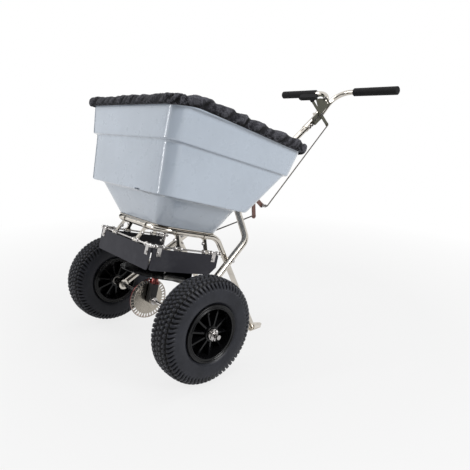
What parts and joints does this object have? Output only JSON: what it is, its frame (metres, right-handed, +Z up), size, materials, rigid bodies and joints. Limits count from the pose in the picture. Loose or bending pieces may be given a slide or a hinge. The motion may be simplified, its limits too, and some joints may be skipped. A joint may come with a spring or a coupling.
{
  "type": "lawn spreader",
  "caption": "Walk-behind broadcast spreader: covered hopper on a tube frame with two pneumatic wheels, geared impeller, swinging deflectors and a lever-worked gate.",
  "frame": {"origin": "on the ground, under the middle of the bounding box", "axes": "+X to the left-hand side as the user stands behind it, +Y towards the handle, +Z up"},
  "size_m": [0.74, 1.1548, 0.9299],
  "materials": {
    "hopper_shell": "smooth glossy moulded polyethylene",
    "tube_steel": "satin stainless tube",
    "bright_steel": "bright plated",
    "nylon": "natural nylon",
    "black_casting": "satin black",
    "grip_rubber": "soft matt foam rubber",
    "olive_plate": "dark olive plated sheet",
    "red_bronze": "reddish sintered metal",
    "tyre_rubber": "treaded pneumatic tyre",
    "black_moulding": "satin black moulding",
    "impeller_plastic": "smooth black moulding",
    "brown_plate": "brown primed sheet",
    "flap_rubber": "flat dark grey sheet",
    "cover_fabric": "gathered woven cover with an elastic hem"
  },
  "bodies": {
    "frame": {"hopper": "hopper_shell", "base_plate": "tube_steel", "gate_guides": "tube_steel", "hopper_bolts": "bright_steel", "frame_loop": "tube_steel", "side_tube_left": "tube_steel", "side_tube_right": "tube_steel", "frame_bolts": "bright_steel", "foot_plates": "tube_steel", "bearing_housings": "tube_steel", "axle_bushes": "nylon", "cross_bar": "tube_steel", "shaft_bushes": "nylon", "gear_block": "black_casting", "mast": "tube_steel", "mast_bracket": "tube_steel", "handle_sleeve": "tube_steel", "handle_bolts": "bright_steel", "handlebar": "tube_steel", "grip_left": "grip_rubber", "grip_right": "grip_rubber", "control_plate": "olive_plate", "rate_stop": "bright_steel", "crank_bracket": "tube_steel", "hinge_rods": "bright_steel", "rod_brackets": "tube_steel"},
    "axle_set": {"axle": "bright_steel", "crown_gear": "tube_steel", "gear_hub": "red_bronze", "axle_collars": "bright_steel", "linch_pins": "bright_steel", "tyre_right": "tyre_rubber", "rim_right": "black_moulding", "hub_bushes_right": "nylon", "drive_pin": "bright_steel", "valve_right": "black_moulding"},
    "left_wheel": {"tyre_left": "tyre_rubber", "rim_left": "black_moulding", "hub_bushes_left": "nylon", "valve_left": "black_moulding"},
    "impeller_set": {"impeller_shaft": "bright_steel", "pinion": "red_bronze", "impeller": "impeller_plastic", "agitator": "bright_steel"},
    "hand_lever": {"lever": "olive_plate", "lever_grip": "grip_rubber"},
    "upper_rod": {"upper_rod": "bright_steel", "rod_nut": "bright_steel"},
    "bell_crank": {"bell_crank": "brown_plate"},
    "lower_rod": {"lower_rod": "bright_steel"},
    "gate": {"gate": "bright_steel"},
    "front_deflector": {"flap_front": "flap_rubber", "straps_front": "bright_steel"},
    "left_deflector": {"flap_left": "flap_rubber", "straps_left": "bright_steel"},
    "right_deflector": {"flap_right": "flap_rubber", "straps_right": "bright_steel"},
    "cover": {"cover": "cover_fabric"}
  },
  "joints": [
    {"name": "axle_spin", "type": "hinge", "parent": "frame", "child": "axle_set", "pos_m": [0, -0.41241, 0.165], "axis": [1, 0, 0], "continuous": true},
    {"name": "left_wheel_spin", "type": "hinge", "parent": "frame", "child": "left_wheel", "pos_m": [0, -0.41241, 0.165], "axis": [1, 0, 0], "continuous": true},
    {"name": "impeller_spin", "type": "hinge", "parent": "frame", "child": "impeller_set", "pos_m": [0, -0.41241, 0.165], "axis": [0, 0.2588, 0.9659], "continuous": true},
    {"name": "lever_turn", "type": "hinge", "parent": "frame", "child": "hand_lever", "pos_m": [0, 0.4328, 0.81614], "axis": [-1, 0, 0], "range_deg": [0, 34]},
    {"name": "upper_rod_turn", "type": "hinge", "parent": "hand_lever", "child": "upper_rod", "pos_m": [0, 0.4823, 0.77401], "axis": [-1, 0, 0], "range_deg": [-34, 0]},
    {"name": "crank_turn", "type": "hinge", "parent": "frame", "child": "bell_crank", "pos_m": [0, 0.06579, 0.48812], "axis": [-1, 0, 0], "range_deg": [0, 34]},
    {"name": "lower_rod_turn", "type": "hinge", "parent": "bell_crank", "child": "lower_rod", "pos_m": [0, 0.07303, 0.40544], "axis": [-1, 0, 0], "range_deg": [-34, 0]},
    {"name": "gate_slide", "type": "slide", "parent": "frame", "child": "gate", "axis": [0, -0.9659, 0.2588], "range_m": [0, 0.04847]},
    {"name": "front_deflector_swing", "type": "hinge", "parent": "frame", "child": "front_deflector", "pos_m": [0, -0.5005, 0.40808], "axis": [-1, 0, 0], "range_deg": [0, 75]},
    {"name": "left_deflector_swing", "type": "hinge", "parent": "frame", "child": "left_deflector", "pos_m": [0.16, -0.35754, 0.36978], "axis": [0, -0.9659, 0.2588], "range_deg": [0, 75]},
    {"name": "right_deflector_swing", "type": "hinge", "parent": "frame", "child": "right_deflector", "pos_m": [-0.16, -0.35754, 0.36978], "axis": [0, 0.9659, -0.2588], "range_deg": [0, 75]},
    {"name": "cover_lift", "type": "slide", "parent": "frame", "child": "cover", "axis": [0, 0.2588, 0.9659], "range_m": [0, 0.15]}
  ],
  "couplings": [
    {"joint": "impeller_spin", "follows": "axle_spin", "ratio": 4},
    {"joint": "upper_rod_turn", "follows": "lever_turn", "ratio": -1},
    {"joint": "crank_turn", "follows": "lever_turn", "ratio": 1},
    {"joint": "lower_rod_turn", "follows": "lever_turn", "ratio": -1},
    {"joint": "gate_slide", "follows": "lever_turn", "m_per_rad": 0.081675}
  ]
}
